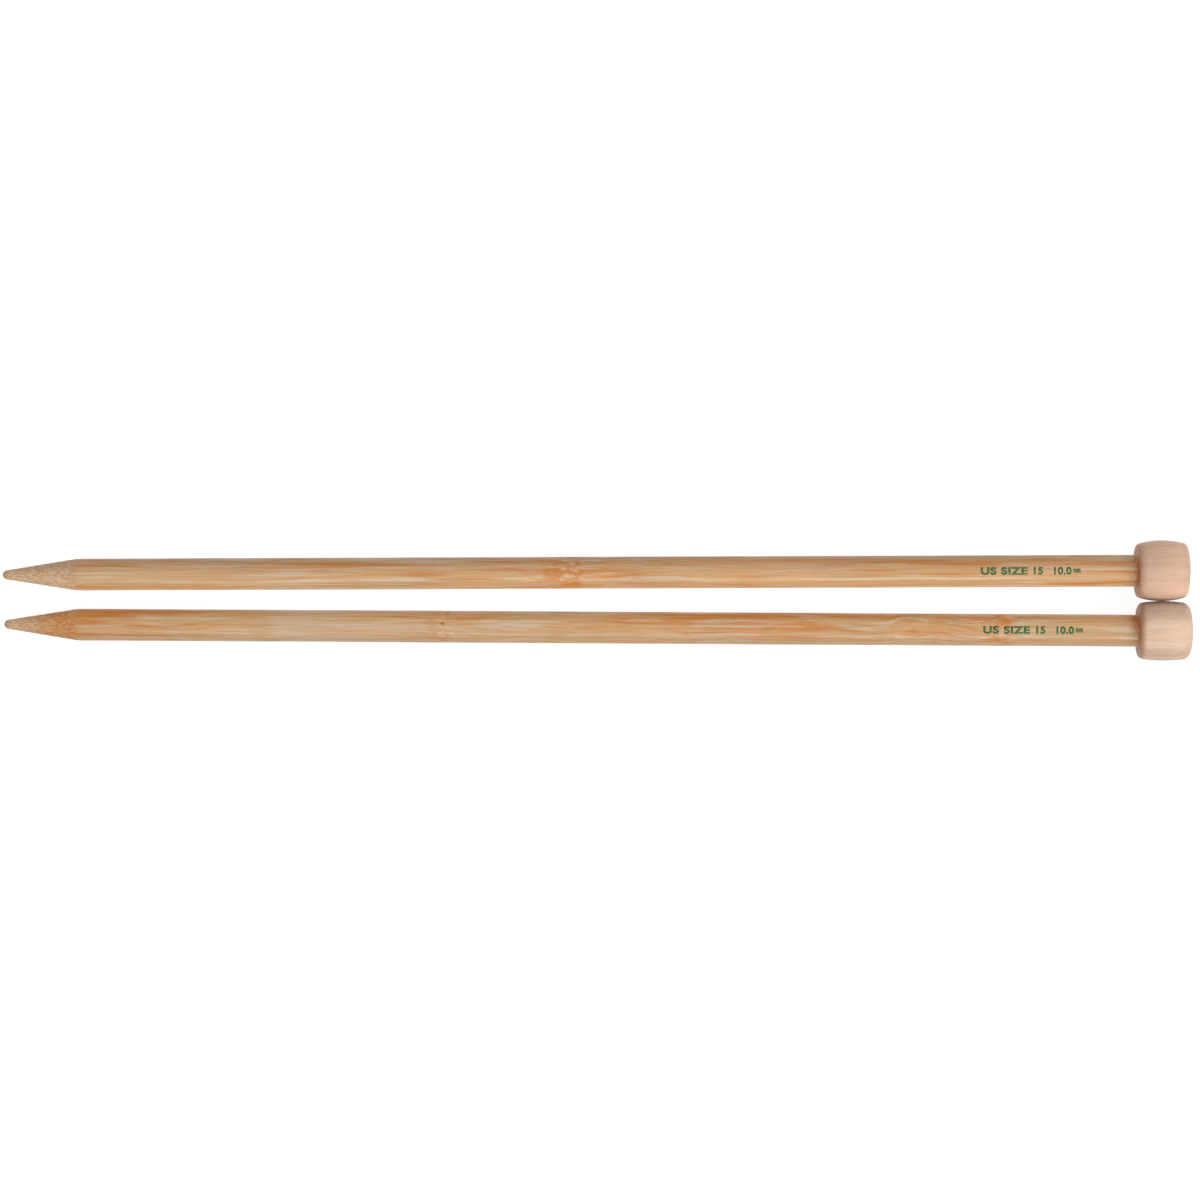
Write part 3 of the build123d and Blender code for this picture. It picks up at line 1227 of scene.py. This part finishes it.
def make_knob_wood(side):
    """The material of one knob."""
    middle_tone, light_tone, dark_tone = KNOB_COLOURS[side]
    wood = new_material(f"{side}_knob_wood")
    space = rod_space(side)
    parts = add_node("SeparateXYZ", {0: space}).outputs
    shift = BAMBOO[side]["shift"] + 200.0
    broad = streak(space, 26.0, 2.6, 1.2, shift)
    narrow = streak(space, 9.0, 0.5, 0.5, shift + 9.0)
    fibres = use_group(fine_fibres, {"Vector": space, "Fibre Width": 0.16, "Pore Length": 1.6})
    pores = fibres["Pores"]
    patches = use_group(handling, {"Vector": space, "Patch": 6.0, "Shift": shift})
    polish = patches["Polish"]
    rims = use_group(rim_wear, {"Vector": space, "Near End": KNOB_NEAR, "Far End": KNOB_FAR})
    wear = rims["Wear"]

    colour = mix_colours(step_up(broad, 0.35, 0.65), middle_tone, light_tone)
    fine = step_up(narrow, 0.56, 0.40)
    for mask, strength in ((fine, 0.22), (pores, 0.16), (wear, 0.22), (polish, 0.10)):
        colour = cover(colour, mask, strength, dark_tone)
    # the face round the shaft, browned partly by glue and partly by painted shade
    ragged = plus(parts["X"], times(narrow, 1.2))
    stain_and_shade = step_up(ragged, KNOB_NEAR + 3.4, KNOB_NEAR + 0.5)
    colour = cover(colour, stain_and_shade, 0.62, KNOB_STAIN_AND_SHADE)
    # painted shade on the side that faces the other knob
    to_other = times(parts["Y"], TOWARDS_OTHER[side])
    contact_shade = step_up(plus(to_other, broad), 8.5, 10.1)
    colour = cover(colour, contact_shade, 0.36, CONTACT_SHADE_BROWN)

    # painted light and shade: lighter towards the far end, and across the knob
    far_painted_light = step_up(parts["X"], KNOB_NEAR + 3.0, KNOB_NEAR + 15.0, 1.0, FAR_END_PAINTED_LIGHT)
    painted_light = painted_light_across(parts["Y"], *KNOB_PAINTED_LIGHT[side])
    painted_light = maths("MAXIMUM", maths("MINIMUM", painted_light, LIGHTEST_PAINTED_LIGHT), DARKEST_PAINTED_LIGHT)
    dull = step_up(polish, 0.0, 1.0, *KNOB_ROUGHNESS)
    height = plus(fibres["Height"], times(pores, -0.16))
    inputs = {
        "Base Color": lighten(colour, times(painted_light, far_painted_light)),
        "Roughness": plus(dull, times(wear, -0.10)),
        "Specular IOR Level": 0.25,
        "Normal": bumpy(height, 0.35, 0.03),
    }
    finish_material(wood, knobs[side], inputs)


for side in SIDES:
    make_knob_wood(side)

# %% [markdown]
# ## Glue and ink
#
# The glue has set to a hard dark amber, with dust and wiped streaks in it. The ink is a thin
# coat that soaked into the fibres: where fibres stand proud it is rubbed through, and the
# alpha lets the bamboo show there.


# %% The colour of the glue
AMBER_DARK = chart(144, 84, 30)
AMBER_LIGHT = chart(178, 114, 52)


def make_glue_finish(side):
    """The material of one knob's glue."""
    amber = new_material(f"{side}_amber_glue")
    clouds = noise(rod_space(side), 1.1, 4.0)["Fac"]
    inputs = {
        "Base Color": mix_colours(step_up(clouds, 0.35, 0.65), AMBER_DARK, AMBER_LIGHT),
        "Roughness": step_up(clouds, 0.3, 0.7, 0.25, 0.5),
        "Normal": bumpy(clouds, 0.4, 0.04),
    }
    finish_material(amber, glues[side], inputs)


for side in SIDES:
    make_glue_finish(side)


# %% The ink
INK_DARK = chart(26, 68, 30)
INK_LIGHT = chart(54, 94, 46)
INK_ALPHA = 0.92  # where the ink isn't rubbed


def make_ink(side):
    """The material of one rod's print."""
    green = new_material(f"{side}_green_ink")
    space = rod_space(side)
    fibres = streak(space, 3.0, 0.35, 0.2, BAMBOO[side]["shift"] + 11.0)
    patches = use_group(handling, {"Vector": space, "Patch": 5.0, "Shift": 90.0})
    worn = times(step_up(fibres, 0.50, 0.66), patches["Polish"])
    inputs = {
        "Base Color": mix_colours(fibres, INK_DARK, INK_LIGHT),
        "Roughness": step_up(fibres, 0.3, 0.7, 0.42, 0.6),
        "Alpha": plus(times(worn, -0.6), INK_ALPHA),
        "Normal": bumpy(fibres, 0.3, 0.02),
    }
    finish_material(green, prints[side], inputs)


for side in SIDES:
    make_ink(side)

# %% [markdown]
# ## The studio
#
# The needles lie on white acrylic that is lit from below, as on a product table, so hardly any
# shadow shows. A large soft light overhead does most of the lighting, and one beyond the knobs
# rounds them. A long light on the -Y side gives the satin line on each rod, and a weaker one on
# the other side fills the shade.


# %% Floor and room
FLOOR_DROP = 0.12 * MM  # the fuller knobs reach a little below the model's table
FLOOR_GLOW = 0.90
ROOM_GLOW = 0.31


def make_floor():
    """A large pale floor just under the needles."""
    let_go()
    bpy.ops.mesh.primitive_plane_add(size=8.0, location=(0, 0, -FLOOR_DROP))
    floor = bpy.context.object
    floor.name = "floor"
    acrylic = bpy.data.materials.new("white_acrylic")
    acrylic.use_nodes = True
    finish = acrylic.node_tree.nodes["Principled BSDF"]
    finish.inputs["Base Color"].default_value = (0.14, 0.14, 0.14, 1)
    finish.inputs["Roughness"].default_value = 0.8
    finish.inputs["Emission Color"].default_value = (1, 1, 1, 1)
    finish.inputs["Emission Strength"].default_value = FLOOR_GLOW
    floor.data.materials.append(acrylic)
    floor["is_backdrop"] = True
    print(floor.name, "at", round(floor.location.z / MM, 2), "mm")


make_floor()
room = bpy.data.worlds.new("white_room")
room.use_nodes = True
sky = room.node_tree.nodes["Background"]
sky.inputs["Color"].default_value = (1.0, 1.0, 1.0, 1)
sky.inputs["Strength"].default_value = ROOM_GLOW
bpy.context.scene.world = room
bpy.context.scene.view_settings.view_transform = "Standard"


# %% Lights
def soft_light(name, place, size, power):
    """A wide light at a place, turned to face the origin."""
    let_go()
    turn_to_face = Vector(place).to_track_quat("Z", "Y").to_euler()
    bpy.ops.object.light_add(type="AREA", location=place, rotation=turn_to_face)
    light = bpy.context.object
    light.name = name
    light.data.shape = "RECTANGLE"
    light.data.size, light.data.size_y = size
    light.data.energy = power
    print(name, power, "W")


soft_light("overhead", (0.0, 0.0, 1.5), (2.4, 2.4), 18.8)
soft_light("knob_side", (1.3, -0.25, 1.0), (1.0, 1.0), 20.8)
soft_light("key", (0.1, -1.04, 0.78), (1.1, 0.3), 9.3)
soft_light("fill", (0.1, 1.0, 0.84), (1.1, 0.3), 3.7)

# %% [markdown]
# ## The camera
#
# The needles are seen from straight above, points to the left. The lens is chosen so that the
# picture is as wide as needed at the height of the rods' axes.

# %% Place the camera
CAMERA_HEIGHT = 1.15
PICTURE_WIDTH = 376.5 * MM  # at the height of the rods' axes
AXIS_HEIGHT = 7.0 * MM
CAMERA_PLACE = (1.2 * MM, -0.05 * MM, CAMERA_HEIGHT)
CAMERA_ROLL = math.radians(0.06)
SENSOR_WIDTH = 36.0
let_go()
bpy.ops.object.camera_add(location=CAMERA_PLACE, rotation=(0, 0, CAMERA_ROLL))
camera = bpy.context.object
camera.data.sensor_width = SENSOR_WIDTH
camera.data.lens = SENSOR_WIDTH * (CAMERA_HEIGHT - AXIS_HEIGHT) / PICTURE_WIDTH
bpy.context.scene.camera = camera
print("lens", round(camera.data.lens, 1), "mm")

# %% Write the sizes and finish
visual_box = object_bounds()
for label, box in (("model", cad_box), ("pieces", visual_box)):
    print(label, [round((box[1][axis] - box[0][axis]) / MM, 2) for axis in range(3)], "mm")
